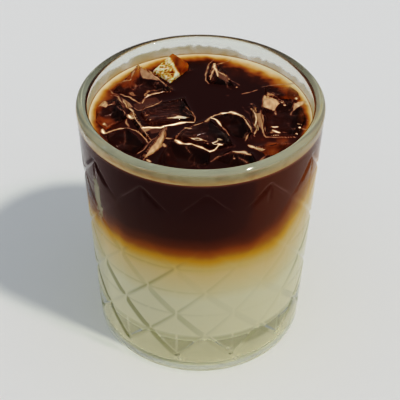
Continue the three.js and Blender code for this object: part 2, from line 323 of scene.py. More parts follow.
def painted_lip_light(azimuth, height, outward):
    """How milky the rounded lip is painted, a painted light that stands in for light carried up through
    the wall.
    """
    backward = smooth_step(0.5, 1.0, 0.5 - 0.5 * np.cos(azimuth))
    crown = smooth_step(LIP_HEIGHT, LIP_HEIGHT + 0.7 * LIP_RADIUS, height)
    beyond_edge = smooth_step(-0.85, -0.55, outward)
    return LIP_PAINTED_LIGHT * crown * beyond_edge * (1 - 0.75 * backward)


def painted_foot_light_and_glints(azimuth, height, radius):
    """How milky the foot is painted, a painted light that carries the drink's colour down, and the painted
    glints of some cuts.
    """
    ring_radius = FOOT_RADIUS - HEEL_RADIUS - FOOT_RING_WIDTH
    on_ring = smooth_step(ring_radius - 2 * FOOT_RECESS, ring_radius, radius)
    on_heel = radius > FOOT_RADIUS - HEEL_RADIUS + 0.4
    on_foot = smooth_step(3.8, 2.0, height) * on_ring
    on_foot = on_foot * (1 - 0.6 * smooth_step(2.0, 1.2, height) * on_heel)
    to_upright = lattice(azimuth, height)[2]
    near = np.exp(-(turned(azimuth - GLINT_AZIMUTH) / GLINT_WIDTH) ** 2)
    lens = smooth_step(58.5, 63, height) * smooth_step(79, 72, height)
    glint = GLINT_STRENGTH * lens * near * smooth_step(2.4, 0.8, to_upright)
    film = np.maximum(HEEL_PAINTED_LIGHT * on_foot, glint)
    for place, level, reach in TIP_GLINTS:
        across = turned(azimuth - math.radians(place)) * FOOT_RADIUS
        tip = np.exp(-(across ** 2 + (height - level) ** 2) / reach ** 2)
        film = np.maximum(film, GLINT_STRENGTH * tip)
    return film


def set_soft_normals(tumbler, azimuth, height, rings):
    """Turns the normals in the cuts part of the way back to those of the uncut wall."""
    normals = normals_of(tumbler.data)
    slope = (RIM_RADIUS - FOOT_RADIUS) / LIP_HEIGHT
    azimuth, height = np.broadcast_arrays(azimuth, height)
    azimuth, height = azimuth[:rings].ravel(), height[:rings].ravel()
    plain = np.stack([np.sin(azimuth), -np.cos(azimuth), 0 * azimuth - slope], -1)
    plain = plain / math.sqrt(1 + slope * slope)
    at_sides = smooth_step(0.8, 1.0, np.abs(np.sin(azimuth)))
    keep = CUT_BEND + (CUT_BEND_AT_SIDES - CUT_BEND) * at_sides
    keep = keep * (1 - 0.8 * smooth_step(LAYER_HEIGHT - 6, LAYER_HEIGHT + 2, height))
    keep = keep + (0.6 - keep) * smooth_step(FIRST_ROW + ROW_STEP, FIRST_ROW + 0.7 * ROW_STEP, height)
    cut_zone = (height > FIRST_ROW - 1) & (height < FIRST_ROW + ROWS * ROW_STEP + 1)
    keep = np.where(cut_zone, keep, 1)[:, None]
    mixed = keep * normals[:len(plain)] + (1 - keep) * plain
    normals[:len(plain)] = mixed / np.linalg.norm(mixed, axis=1)[:, None]
    tumbler.data.normals_split_custom_set_from_vertices(normals.astype(np.float32))


def residue(azimuth, height, radius):
    """Thickness of the film of drink left on the inner wall above the drink."""
    azimuth, height, radius = np.broadcast_arrays(azimuth, height, radius)
    points = polar(azimuth, radius, height)
    near = (points[:, 2] > DRINK_LEVEL - 1.5) & (points[:, 2] < LIP_HEIGHT + 1.5)
    patches = np.zeros(len(points))
    patches[near] = noise_at(points[near] * (1, 1, 1.6), 7.0, 11) + 0.5 * noise_at(points[near], 2.2, 12)
    patches = patches.reshape(height.shape)
    backward = smooth_step(0.35, 1.0, 0.5 - 0.5 * np.cos(azimuth))
    at_right = smooth_step(0.1, 0.5, np.sin(azimuth)) * backward
    top = LIP_HEIGHT + 0.6 - (0.4 + 1.2 * backward + 1.2 * at_right) + 1.5 * patches * backward
    body = 1 - smooth_step(top - 0.9, top + 0.2, height)
    film = body * (0.8 + 0.4 * patches - 0.2 * at_right)
    return np.clip(film, 0, 0.92) * (height > DRINK_LEVEL - 0.6)


def make_glass():
    columns = COLUMNS * CELL_STEPS
    azimuth = FIRST_COLUMN + np.arange(columns) * COLUMN_STEP / CELL_STEPS
    foot = float(outer_radius(HEEL_RADIUS)) - HEEL_RADIUS
    recess = foot - FOOT_RING_WIDTH
    corner_top = FLOOR_HEIGHT + FLOOR_CORNER_RADIUS
    corner_centre = float(inner_radius(corner_top)) - FLOOR_CORNER_RADIUS
    lattice_top = FIRST_ROW + ROWS * ROW_STEP
    step = ROW_STEP / CELL_STEPS
    profile = np.concatenate([
        [[recess / 2, FOOT_RECESS], [recess - 2 * FOOT_RECESS, FOOT_RECESS]],
        [[recess - FOOT_RECESS, FOOT_RECESS / 2], [recess, 0]],
        arc(foot, HEEL_RADIUS, HEEL_RADIUS, -math.pi / 2, 0, 12),
        wall_line(HEEL_RADIUS, FIRST_ROW - step, 8)[1:],
        wall_line(FIRST_ROW, lattice_top, ROWS * CELL_STEPS),
        wall_line(lattice_top + step, LIP_HEIGHT, 8),
        arc(RIM_RADIUS - LIP_RADIUS, LIP_HEIGHT, LIP_RADIUS, 0, math.pi, LIP_STEPS)[1:],
        wall_line(LIP_HEIGHT, DRINK_LEVEL, BRIM_STEPS, inner_radius)[1:],
        wall_line(DRINK_LEVEL, corner_top, WALL_STEPS, inner_radius)[1:],
        arc(corner_centre, corner_top, FLOOR_CORNER_RADIUS, 0, -math.pi / 2, CORNER_STEPS)[1:],
        [[corner_centre / 2, FLOOR_HEIGHT]],
    ])
    radius, height = profile[:, :1], profile[:, 1:]
    inside_rings = LIP_STEPS + BRIM_STEPS + WALL_STEPS + CORNER_STEPS + 1
    outside = np.arange(len(profile))[:, None] < len(profile) - inside_rings
    points = polar(azimuth, radius - np.where(outside, cut_depth(azimuth, height), 0), height)
    points = np.concatenate([points, [[0, 0, FOOT_RECESS], [0, 0, FLOOR_HEIGHT]]])
    falling_quads = lattice(azimuth + COLUMN_STEP / CELL_STEPS / 2, (height[:-1] + height[1:]) / 2)[3]
    tumbler = mesh_object("tumbler", points, closed_rings(len(profile), columns, falling_quads))
    # The cuts' painted light and shade, which the glass material turns into a darker tint or a white glint
    shade = np.where(outside, painted_cut_light_and_shade(azimuth, height), 0)
    paint(tumbler, "cut", np.append(shade.ravel(), [0, 0]))
    outward = (radius - RIM_RADIUS + LIP_RADIUS) / LIP_RADIUS
    # Real residue on the inner wall, and painted light on the foot and lip and painted glints on cuts,
    # under one attribute
    film = np.where(outside, painted_foot_light_and_glints(azimuth, height, radius), residue(azimuth, height, radius))
    film = np.where(height > LIP_HEIGHT, painted_lip_light(azimuth, height, outward), film)
    paint(tumbler, "residue", np.append(film.ravel(), [0, 0]))
    paint(tumbler, "climb", (points[:, 2] - DRINK_LEVEL) / (GLASS_HEIGHT - DRINK_LEVEL))
    wall_rings = int(outside.sum()) - LIP_STEPS
    set_soft_normals(tumbler, azimuth, height, wall_rings)
    return tumbler


# Materials

# Places of the colour sockets of a mix node, which share their names with its other sockets
MIX_FACTOR, MIX_A, MIX_B, MIX_RESULT = 0, 6, 7, 2


def new_material(name):
    material = bpy.data.materials.new(name)
    material.use_nodes = True
    nodes = material.node_tree.nodes
    nodes.clear()
    output = nodes.new("ShaderNodeOutputMaterial")
    return material, nodes, material.node_tree.links, output


def set_inputs(node, **values):
    for key, value in values.items():
        node.inputs[key.replace("_", " ")].default_value = value
    return node


def colour(r, g, b):
    """A linear colour from the 0 to 255 numbers of a screen colour."""
    def linear(v):
        v /= 255
        return v / 12.92 if v <= 0.04045 else ((v + 0.055) / 1.055) ** 2.4
    return (linear(r), linear(g), linear(b), 1)


def painted(nodes, name):
    """The number that paint stored under a name."""
    node = nodes.new("ShaderNodeAttribute")
    node.attribute_name = name
    return node.outputs["Fac"]


def map_range(nodes, links, value, **values):
    """A value mapped from one range to another, each from 0 to 1 unless the values say otherwise."""
    node = set_inputs(nodes.new("ShaderNodeMapRange"), **values)
    links.new(value, node.inputs["Value"])
    return node.outputs["Result"]


def mix_shaders(nodes, links, share, first, second):
    """A mix of two shaders, with the second one's share as a number or a socket."""
    node = nodes.new("ShaderNodeMixShader")
    if isinstance(share, float):
        node.inputs["Fac"].default_value = share
    else:
        links.new(share, node.inputs["Fac"])
    links.new(first, node.inputs[1])
    links.new(second, node.inputs[2])
    return node.outputs["Shader"]


def ramp(nodes, links, value, stops):
    """The colour that a value picks from the stops."""
    node = nodes.new("ShaderNodeValToRGB")
    elements = node.color_ramp.elements
    while len(elements) > 1:
        elements.remove(elements[-1])
    elements[0].position = stops[0][0]
    elements[0].color = stops[0][1]
    for position, tone in stops[1:]:
        elements.new(position).color = tone
    links.new(value, node.inputs["Fac"])
    return node.outputs["Color"]


def clear_to_light(nodes, links, output, surface, shade):
    """Lets light through a clear surface to what is inside, which it would otherwise leave dark."""
    path = nodes.new("ShaderNodeLightPath")
    either = nodes.new("ShaderNodeMath")
    either.operation = "MAXIMUM"
    through = nodes.new("ShaderNodeBsdfTransparent")
    through.inputs["Color"].default_value = shade
    links.new(path.outputs["Is Shadow Ray"], either.inputs[0])
    links.new(path.outputs["Is Diffuse Ray"], either.inputs[1])
    mixed = mix_shaders(nodes, links, either.outputs["Value"], surface, through.outputs["BSDF"])
    links.new(mixed, output.inputs["Surface"])


def residue_and_painted_light_shader(nodes, links):
    """The dried film of drink, whose colour changes with its height above the drink; it also gives the
    colour of the painted light and glints on the foot, lip and cuts.
    """
    climbed = map_range(nodes, links, painted(nodes, "climb"), From_Min=-1.0)
    tone = ramp(nodes, links, climbed, [
        (0.0, colour(228, 224, 200)),
        (0.45, colour(228, 224, 200)),
        (0.5, colour(200, 160, 114)),
        (0.58, colour(200, 172, 128)),
        (0.7, colour(197, 181, 146)),
        (0.82, colour(193, 185, 150)),
        (0.93, colour(205, 212, 192)),
        (1.0, colour(205, 214, 196)),
    ])
    front = nodes.new("ShaderNodeBsdfDiffuse")
    behind = nodes.new("ShaderNodeBsdfTranslucent")
    for face in (front, behind):
        links.new(tone, face.inputs["Color"])
    return mix_shaders(nodes, links, 0.5, front.outputs["BSDF"], behind.outputs["BSDF"])


def glass_material():
    material, nodes, links, output = new_material("clear_glass")
    shader = nodes.new("ShaderNodeBsdfPrincipled")
    set_inputs(shader, Roughness=0.015, IOR=1.46, Transmission_Weight=1.0, Specular_IOR_Level=0.2)
    # The cuts' painted shade darkens the glass's tint, and their painted light mixes in a white diffuse
    # glint
    level = map_range(nodes, links, painted(nodes, "cut"), From_Min=-1.0)
    painted_cut_tint = ramp(nodes, links, level, [
        (0.0, (0.08, 0.09, 0.05, 1)),
        (0.25, (0.36, 0.38, 0.27, 1)),
        (0.5, (0.92, 0.94, 0.90, 1)),
        (1.0, (1.0, 1.0, 1.0, 1)),
    ])
    links.new(painted_cut_tint, shader.inputs["Base Color"])
    glint = nodes.new("ShaderNodeBsdfDiffuse")
    glint.inputs["Color"].default_value = (0.9, 0.9, 0.84, 1)
    bright = map_range(nodes, links, level, From_Min=0.55, From_Max=1.0, To_Max=0.16)
    lit = mix_shaders(nodes, links, bright, shader.outputs["BSDF"], glint.outputs["BSDF"])
    # Mixes in the residue film and the painted light and glints that share its attribute
    coated = mix_shaders(nodes, links, painted(nodes, "residue"), lit, residue_and_painted_light_shader(nodes, links))
    clear_to_light(nodes, links, output, coated, (0.93, 0.95, 0.92, 1))
    return material


def drink_material(name, attribute_name, tones, share=1.0):
    """A liquid coloured by one of its attributes through the tones, at a share of their brightness."""
    material, nodes, links, output = new_material(name)
    stops = [(place, [share * part for part in colour(*tone)[:3]] + [1]) for place, tone in tones]
    shader = nodes.new("ShaderNodeBsdfPrincipled")
    links.new(ramp(nodes, links, painted(nodes, attribute_name), stops), shader.inputs["Base Color"])
    links.new(shader.outputs["BSDF"], output.inputs["Surface"])
    return material, nodes, links, shader


# How brightly the thickest crema glows, a painted glint
CREMA_PAINTED_GLINT = 0.4


def crema_and_highlight_colour(nodes, links):
    """The colour of the crema and painted highlights, how much it covers what is below, and how much it
    glows as a painted glint.
    """
    film = painted(nodes, "film")
    tone = ramp(nodes, links, film, [
        (0.0, colour(112, 72, 60)),
        (0.4, colour(176, 132, 108)),
        (0.68, colour(210, 168, 128)),
        (0.85, colour(232, 206, 166)),
        (1.0, colour(252, 246, 226)),
    ])
    cover = map_range(nodes, links, film, From_Max=0.7)
    glint = map_range(nodes, links, film, From_Min=0.8, From_Max=1.0, To_Max=CREMA_PAINTED_GLINT)
    return tone, cover, glint


def add_crema_and_highlights(nodes, links, shader):
    """Covers a liquid with crema and painted highlights where its film attribute says so, glowing where
    they are thickest.
    """
    base = shader.inputs["Base Color"].links[0].from_socket
    tone, cover, glint = crema_and_highlight_colour(nodes, links)
    foam = nodes.new("ShaderNodeMix")
    foam.data_type = "RGBA"
    links.new(cover, foam.inputs[MIX_FACTOR])
    links.new(base, foam.inputs[MIX_A])
    links.new(tone, foam.inputs[MIX_B])
    links.new(foam.outputs[MIX_RESULT], shader.inputs["Base Color"])
    links.new(tone, shader.inputs["Emission Color"])
    links.new(glint, shader.inputs["Emission Strength"])


# Drink: the layer attribute is the height above the meeting of the layers, from 0 to 1 over LAYER_SPAN

# Passage of colour from the tonic at its deepest to the coffee, as places in the layer attribute and tones
LAYER_TONES = [
    (0.0, (197, 191, 164)),
    (0.1, (194, 183, 148)),
    (0.3, (195, 173, 128)),
    (0.39, (190, 162, 108)),
    (0.47, (188, 138, 34)),
    (0.54, (150, 92, 16)),
    (0.62, (105, 54, 15)),
    (0.72, (73, 31, 14)),
    (1.0, (65, 20, 13)),
]
LAYER_SPAN = 40.0
# How far above the meeting the middle of the passage lies
LAYER_LIFT = 0.35
# How far into the passage, past its middle, the coffee gets at the right
PALER_COFFEE = 0.18
LAYER_STEP_AZIMUTH = math.radians(-43)
LAYER_STEP_WIDTH = math.radians(5)


def layer_rise(x):
    return np.clip((x - LAYER_RISE_START) / LAYER_RISE_LENGTH, 0, 1)


def layer_height(x):
    return LAYER_HEIGHT + LAYER_RISE * layer_rise(x) ** LAYER_RISE_POWER


def layer_tone(points):
    """Where a place lies in the passage from tonic to coffee: about 0.5 at their meeting."""
    x, z = points[:, 0], points[:, 2]
    azimuth = azimuth_of(points)
    wave = 0.5 * np.sin(3 * azimuth + 1.0) + 0.35 * np.sin(8 * azimuth + 2.0) + 0.25 * np.sin(19 * azimuth)
    from_step = (azimuth - LAYER_STEP_AZIMUTH) / LAYER_STEP_WIDTH
    wave = wave + 1.5 * from_step * np.exp(-from_step ** 2)
    spread = 1 + np.where(z > layer_height(x), 1.4, 0.5) * layer_rise(x)
    degrees = np.degrees(azimuth)
    lift = LAYER_LIFT - 1.0 * smooth_step(-12, -24, degrees) - 0.7 * smooth_step(30, 42, degrees)
    tone = (z - layer_height(x) + wave - lift) / (LAYER_SPAN * spread)
    paler = smooth_step(6, 30, degrees) * smooth_step(130, 100, degrees)
    return 0.5 + tone + paler * (np.minimum(tone, PALER_COFFEE) - tone)


def drink_radius(height):
    return inner_radius(height) + REACH_INTO_WALL


DRINK_COLUMNS = 480
TONIC_SIDE_ROWS = 60
COFFEE_SIDE_ROWS = 36
TONIC_CORNER_STEPS = 10
UNDERSIDE_TOP = FLOOR_HEIGHT + 0.8
# Rings of the surface where the layers meet, from the wall inwards, as shares of its radius
MEETING_RINGS = (0.97, 0.9, 0.8, 0.65, 0.45, 0.2)


def drink_azimuths():
    return np.arange(DRINK_COLUMNS) * 2 * math.pi / DRINK_COLUMNS


def meeting_height(azimuth):
    """Height of the layers' meeting along the wall."""
    return layer_height(drink_radius(LAYER_HEIGHT) * np.sin(azimuth))


def meeting_rings(azimuth):
    radii = [share * drink_radius(LAYER_HEIGHT) for share in MEETING_RINGS]
    return [polar(azimuth, radius, layer_height(radius * np.sin(azimuth))) for radius in radii]


def side_rings(azimuth, low, high, rows):
    """Rings up the wall from one height to another, both included."""
    heights = [low + (high - low) * k / rows for k in range(rows + 1)]
    return [polar(azimuth, drink_radius(height), height) for height in heights]


def crease(piece, ring):
    """Shades the faces on the two sides of a ring of points apart from each other."""
    ends = np.zeros(2 * len(piece.data.edges), np.int32)
    piece.data.edges.foreach_get("vertices", ends)
    on_ring = (ends // DRINK_COLUMNS == ring).reshape(-1, 2).all(1)
    piece.data.edges.foreach_set("use_edge_sharp", on_ring)


def make_tonic():
    azimuth = drink_azimuths()
    corner_top = FLOOR_HEIGHT + FLOOR_CORNER_RADIUS
    corner_radius = FLOOR_CORNER_RADIUS + REACH_INTO_WALL
    corner_centre = float(drink_radius(corner_top)) - corner_radius
    corner = arc(corner_centre, corner_top, corner_radius, -math.pi / 2, 0, TONIC_CORNER_STEPS)
    rings = [polar(azimuth, radius, height) for radius, height in corner]
    rings += side_rings(azimuth, corner_top, meeting_height(azimuth), TONIC_SIDE_ROWS)[1:]
    rings += meeting_rings(azimuth)
    floor = FLOOR_HEIGHT - REACH_INTO_WALL
    points = np.concatenate(rings + [np.array([[0, 0, floor], [0, 0, LAYER_HEIGHT]])])
    piece = mesh_object("tonic_layer", points, closed_rings(len(rings), DRINK_COLUMNS))
    crease(piece, len(corner) + TONIC_SIDE_ROWS - 1)
    paint(piece, "layer", layer_tone(points))
    highest = points[triangles_of(piece.data), 2].max(1)
    use_second_material(piece.data, highest < UNDERSIDE_TOP)
    return piece


def underside_material():
    """The tonic's underside, given a painted glow that stands in for the light that has come down through
    the tonic.
    """
    material, nodes, links, output = new_material("tonic_underside")
    shader = nodes.new("ShaderNodeBsdfPrincipled")
    set_inputs(shader, Base_Color=colour(214, 207, 180), Roughness=0.6, Specular_IOR_Level=0.0)
    set_inputs(shader, Emission_Color=colour(214, 207, 180), Emission_Strength=0.27)
    links.new(shader.outputs["BSDF"], output.inputs["Surface"])
    return material


# Painted glow: an emission in the cloudy tonic's own colours that stands in for light it passes on from
# all around, besides what reaches its surface, and the share of those colours' brightness
TONIC_GLOW = 0.4
TONIC_SHARE = 0.76


def tonic_material():
    material, nodes, links, shader = drink_material("cloudy_tonic", "layer", LAYER_TONES, TONIC_SHARE)
    set_inputs(shader, Roughness=0.6, Specular_IOR_Level=0.0, Emission_Strength=TONIC_GLOW)
    set_inputs(shader, Subsurface_Weight=1.0, Subsurface_Radius=(1.0, 0.95, 0.8), Subsurface_Scale=0.012)
    # The painted glow takes the tonic's colours
    glow = shader.inputs["Base Color"].links[0].from_socket
    links.new(glow, shader.inputs["Emission Color"])
    return material


# Ice outlines, from the solids of the ice


def hull(points):
    """The convex outline of points in a plane, anticlockwise."""
    ordered = sorted(set(map(tuple, points)))
    def half(sequence):
        line = []
        for point in sequence:
            while len(line) > 1:
                (ax, ay), (bx, by) = line[-2], line[-1]
                if (bx - ax) * (point[1] - ay) - (by - ay) * (point[0] - ax) > 0:
                    break
                line.pop()
            line.append(point)
        return line[:-1]
    return np.array(half(ordered) + half(reversed(ordered)))


def ice_outlines():
    outlines = {}
    for name, node in sorted(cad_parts.items()):
        if name.startswith("ice_"):
            points = points_of(node)
            above = points[points[:, 2] > DRINK_LEVEL - 1.5]
            outlines[name] = hull(np.round(above[:, :2], 3))
    return outlines


def signed_distance(points, outline):
    """Distance from points in a plane to a convex outline, negative inside it."""
    nearest = np.full(len(points), np.inf)
    inside = np.ones(len(points), bool)
    for a, b in zip(outline, np.roll(outline, -1, axis=0)):
        along = b - a
        rel = points - a
        share = np.clip(rel @ along / (along @ along), 0, 1)
        nearest = np.minimum(nearest, np.linalg.norm(rel - share[:, None] * along, axis=1))
        inside &= along[0] * rel[:, 1] - along[1] * rel[:, 0] > 0
    return np.where(inside, -nearest, nearest)


# Crema and painted highlights on the drink and the ice: strength, width and path, as places on the drink's
# plane
CREMA_AND_HIGHLIGHT_PATHS = [
    # Left back slab
    (0.6, 0.45, [(-22.3, 28.2), (-23.4, 24.3), (-24.3, 20), (-26.2, 19.3), (-29.4, 17.9), (-31, 16.1)]),
    (0.55, 0.45, [(-31, 16.1), (-31.2, 14.3), (-30, 12.1), (-28.4, 11.4)]),
    (0.75, 0.5, [(-19.4, 27.9), (-16.6, 23.9), (-14.4, 20.7), (-11.6, 16.6)]),
    (0.8, 0.5, [(-27.6, 11.8), (-25.9, 10.5), (-23.7, 9.8), (-22.3, 7.9), (-20.9, 6.4), (-19.6, 6.4)]),
    (0.75, 0.6, [(-19.6, 6.4), (-19.1, 9.3), (-18, 11.1), (-15.9, 11.8), (-13, 13.2), (-10.1, 13.6)]),
    (0.9, 0.9, [(-18.4, 11.2), (-17.6, 11)]),
    (0.75, 0.42, [(-22.3, 3.6), (-21.2, 2.3), (-19.1, 2.7), (-15.9, 5), (-13.4, 6.8), (-13, 8.2)]),
    # Left edge
    (0.85, 0.5, [(-26.2, 7.9), (-24.4, 3.9), (-22.6, 1.8), (-21.9, -1.1), (-20.9, -4.3)]),
    (0.8, 0.5, [(-20.9, -4.3), (-19.1, -7.9), (-17.6, -11.1), (-15.9, -14.6)]),
    (1.0, 1.3, [(-23.6, -0.8), (-22.5, -2.6)]),
    (0.6, 0.5, [(-24.1, -2.9), (-24.2, -5), (-23.4, -7.9)]),
    (0.55, 0.4, [(-24.8, -1.1), (-25.5, 1.4), (-27.3, 3.6), (-29.1, 5.7), (-31.2, 5), (-34.1, 4.8)]),
    (0.5, 0.5, [(-34.4, 6.4), (-32.3, 8.6)]),
    (0.7, 0.55, [(-34.1, 4.4), (-32.3, 7.3), (-30.9, 5), (-28.7, 5.3)]),
    (0.65, 0.5, [(-30.4, 10.9), (-28.2, 10.3), (-26.4, 6.6)]),
    (0.3, 0.4, [(-29.1, 10.7), (-27.3, 7.1), (-25.5, 3.2)]),
    (0.35, 0.4, [(-28, 11.4), (-26.4, 6.8), (-25, 2)]),
    (1.0, 1.1, [(-32, -8.8), (-31.2, -10.9)]),
    (0.85, 0.6, [(-30.9, -11.1), (-28.4, -9.3), (-25.9, -8.2), (-23.4, -8)]),
    (0.8, 0.5, [(-23.4, -8), (-21.2, -9.3), (-19.1, -11.8), (-17.3, -14.3), (-16.9, -15.7)]),
    (0.3, 0.5, [(-26.2, -3.6), (-29.1, -6.1), (-30.9, -7.9)]),
    (0.3, 0.5, [(-24.8, -10.4), (-23.9, -14.3), (-24.4, -17.1)]),
    (0.25, 0.5, [(-24.4, -17.7), (-20.1, -18.2)]),
    # Middle slab
    (1.0, 1.0, [(-18.7, -7.9), (-16.6, -7.5), (-13, -7.5), (-10.9, -6.4)]),
    (1.0, 0.8, [(-10.9, -6.4), (-7.6, -5.4), (-4.8, -4.5), (-2.3, -4.3)]),
    (0.7, 0.42, [(-4.8, 4.6), (-3, 1.1), (-1.8, -1.8), (-1.9, -3.9)]),
    (0.4, 0.4, [(-5.7, 1.8), (-3.4, -0.7)]),
    (0.3, 0.45, [(-18, -2.9), (-10.1, -1.1), (-5.9, 0.7)]),
    (0.3, 0.4, [(-16.6, 0.7), (-9.4, 3.2)]),
    (0.22, 0.5, [(-13, 4.6), (-5.1, 5)]),
    (0.25, 0.4, [(-14.8, -3.9), (-9.4, -2.5)]),
    (0.8, 0.5, [(-18, -3.5), (-17.6, -3.7)]),
    (0.5, 0.5, [(-8.6, 7.9), (-7.2, 8.6)]),
    # Wedge at the front left
    (0.5, 0.5, [(-13, -12.5), (-11.6, -9.6), (-10.9, -7.1)]),
    (0.6, 0.42, [(-20.1, -22.5), (-18, -19.6), (-16.6, -16.1), (-14.1, -12.9)]),
    (0.7, 0.6, [(-11.2, -13.2), (-9.1, -13.9)]),
    (0.7, 1.1, [(-11.6, -16.6), (-11.2, -18)]),
    (0.9, 0.7, [(-16.8, -25), (-15.5, -26)]),
    # Front middle
    (1.0, 1.15, [(-8.4, -14.6), (-5.9, -16.4), (-3, -16.4)]),
    (1.0, 0.7, [(-3, -16.4), (-0.1, -17.9), (2.9, -20.4), (4.3, -20), (5.7, -17.5)]),
    (1.0, 0.95, [(5.7, -16.8), (7.1, -17.1)]),
    (0.6, 0.45, [(-8, -13.6), (-6.2, -9.6), (-4.8, -7.7)]),
    (0.9, 0.7, [(-4.8, -7.6), (-3, -8.2)]),
    (0.8, 0.6, [(-2.3, -6.1), (0, -5), (1.8, -3.6), (3.6, -1.1)]),
    (0.5, 0.4, [(-4.8, -18.2), (-2.8, -21.8)]),
    (0.6, 0.5, [(2.1, -16.2), (2.2, -16.7)]),
    (0.4, 0.7, [(0.3, -12.6), (0.8, -12.8)]),
    # Arc
    (0.8, 0.5, [(3.6, -1.8), (4.6, -0.4), (7.1, 0.7)]),
    (0.95, 1.2, [(7.1, 0.7), (10, 1.2), (12.1, 0.3), (13.6, -1.4)]),
    (0.85, 0.65, [(13.6, -1.4), (15, -3.9), (16.1, -6.8), (16.8, -9.6)]),
    (0.35, 0.4, [(13.9, -0.6), (15.7, -3.2), (16.8, -6.8)]),
    (0.22, 0.5, [(13.9, 4.6), (16.1, 0.7), (17.1, -4.3)]),
    (0.95, 0.7, [(3.6, -2.1), (5.4, -3.2), (6.8, -6.8)]),
    (0.6, 0.42, [(6.8, -6.8), (8.6, -9.6), (9.3, -11.8)]),
    # Right
    (0.9, 0.6, [(17, 3.9), (17.9, 0.7), (18.4, -2.1), (18, -5.7), (18.2, -8.9), (17.5, -10.7)]),
    (0.7, 0.45, [(20, 2.9), (20.4, -2.9), (20, -7.9), (20.7, -11.4), (21.4, -12.5), (31.1, -12.5)]),
    (0.5, 0.9, [(17, 6.2), (17.3, 6.6)]),
    (0.9, 0.5, [(17.5, -11.6), (17.5, -12)]),
    (0.7, 0.5, [(15.4, -11.4), (14.5, -14.3)]),
    (0.6, 0.5, [(24.6, 2.1), (25, -0.4)]),
    (0.6, 0.4, [(24.6, 11.4), (26.4, 9.3), (28.2, 6.8)]),
    (0.9, 0.7, [(26.9, 7.1), (27.2, 6.9)]),
    (0.9, 1.0, [(27.9, 5.5), (28.2, 5.2)]),
    (0.5, 0.45, [(30.2, 2.1), (29.6, -0.4)]),
    (0.4, 0.4, [(30.7, 6.8), (31.4, 8.9), (32.7, 10)]),
    (1.0, 0.8, [(32.4, 9.8), (32.6, 9.3)]),
    (0.7, 0.6, [(35.3, 5.8), (35.5, 5.5)]),
    (0.5, 0.6, [(33.4, 4.8), (33.8, 4.4)]),
    (0.8, 0.5, [(35.2, -2.7), (35.2, -3.1)]),
    (1.0, 0.9, [(32.3, -7.2), (32.8, -7.4)]),
    (0.6, 0.5, [(33.2, -7.9), (34.6, -8)]),
    (0.4, 0.7, [(29.5, -7.8), (29.7, -8)]),
    (0.9, 0.6, [(31.1, -10.3), (31.4, -10.6)]),
    (1.0, 0.75, [(23.6, -8.9), (25.7, -10)]),
    (0.7, 0.5, [(22.8, -9.5), (23.1, -9.5)]),
    # Back
    (0.7, 0.45, [(4.3, 33.9), (2.5, 30.4), (1.8, 24.6), (1.4, 20.7), (2.7, 18.6)]),
    (0.8, 0.5, [(4.6, 30.4), (4.5, 27.1), (3.6, 23.2), (3, 20.7)]),
    (0.9, 0.9, [(5, 31.4), (4.6, 28.6), (5.4, 25.4), (6.1, 22.9)]),
    (0.75, 0.8, [(5.7, 26.1), (8.2, 23.9), (10, 21.4)]),
    (0.7, 0.5, [(5.7, 30.7), (8.2, 32.1), (10.7, 33.9)]),
    (0.45, 0.4, [(10.7, 20.7), (13.2, 17.5)]),
    (0.9, 0.5, [(12.3, 16.5), (12.3, 16.1)]),
    (0.35, 0.5, [(8.6, 20), (9.3, 16.4), (10.4, 15)]),
    (0.35, 1.0, [(9.2, 11.5), (9.4, 11.3)]),
    (0.6, 0.45, [(13.9, 12.3), (16.4, 13.2), (19.6, 15)]),
    (0.55, 0.45, [(20.7, 16.4), (23.6, 17.6), (28.2, 18.4), (35.2, 19.2)]),
    (0.5, 0.45, [(35.2, 19.2), (36, 14.3), (36.1, 9.8)]),
    # Front right
    (0.9, 0.9, [(15.5, -16.8), (16.8, -18.2), (20, -19.3)]),
    (0.45, 0.5, [(3.2, -25.7), (5, -23.6), (8.9, -21.4)]),
    (0.9, 0.95, [(10.7, -20.4), (13.6, -20.7), (16.1, -22)]),
    (0.7, 0.6, [(10.7, -23.6), (10.6, -24.2)]),
    (0.45, 0.5, [(25.7, -16.4), (27.1, -15.7), (29.3, -16)]),
    (0.5, 0.6, [(18.6, -25), (21.4, -21.8)]),
]
# Faces of ice painted pale, partly crema and partly painted light on faces that catch it: strength and
# outline
CREMA_AND_HIGHLIGHT_FACETS = [
    (0.55, [(-21.2, 27.9), (-20.9, 23.2), (-20.1, 20.9), (-14.4, 19.8), (-16.6, 23.2), (-19.1, 26.8)]),
    (0.22, [(-22.6, 5.4), (-21.6, 2.9), (-19.4, 2.9), (-16.6, 4.6), (-13.4, 7.1), (-15.1, 10),
            (-18.7, 9.3)]),
    (0.55, [(-26.9, 10), (-25.9, 6.8), (-24.4, 3.9), (-22.6, 3.9), (-23.7, 6.4)]),
    (0.75, [(-34.1, 4.8), (-31.4, 3.6), (-30.9, 5.5), (-31.9, 6.8)]),
    (0.6, [(-18.7, -8), (-17.6, -10.4), (-15.9, -8)]),
    (0.25, [(-17, -8.3), (-16, -11), (-12, -10), (-12.5, -8)]),
    (0.75, [(-18, -24.6), (-15.1, -22.1), (-12.3, -17.9), (-11.7, -14.3), (-11.6, -9.6), (-14.8, -16.8),
            (-16.6, -20.7)]),
    (0.75, [(20.7, 8.2), (20.5, 4.3), (21.8, 3.6), (24.3, 1.8), (26.6, 6.4), (24.6, 10), (21.8, 11.6)]),
    (0.75, [(30.4, 2.1), (34.3, 6.1), (35.7, 8.2), (32.9, 7.9), (31.1, 6.4)]),
    (0.6, [(18, 1.1), (18.6, -4.3), (19.5, -7.9), (20.2, -4.3), (20, 1.4)]),
    (0.7, [(15.9, -17.2), (17, -19), (19.5, -20.5), (20.7, -19.3)]),
    (0.35, [(5.4, 25.4), (6.1, 21.5), (9.8, 19), (9.6, 21.5)]),
]
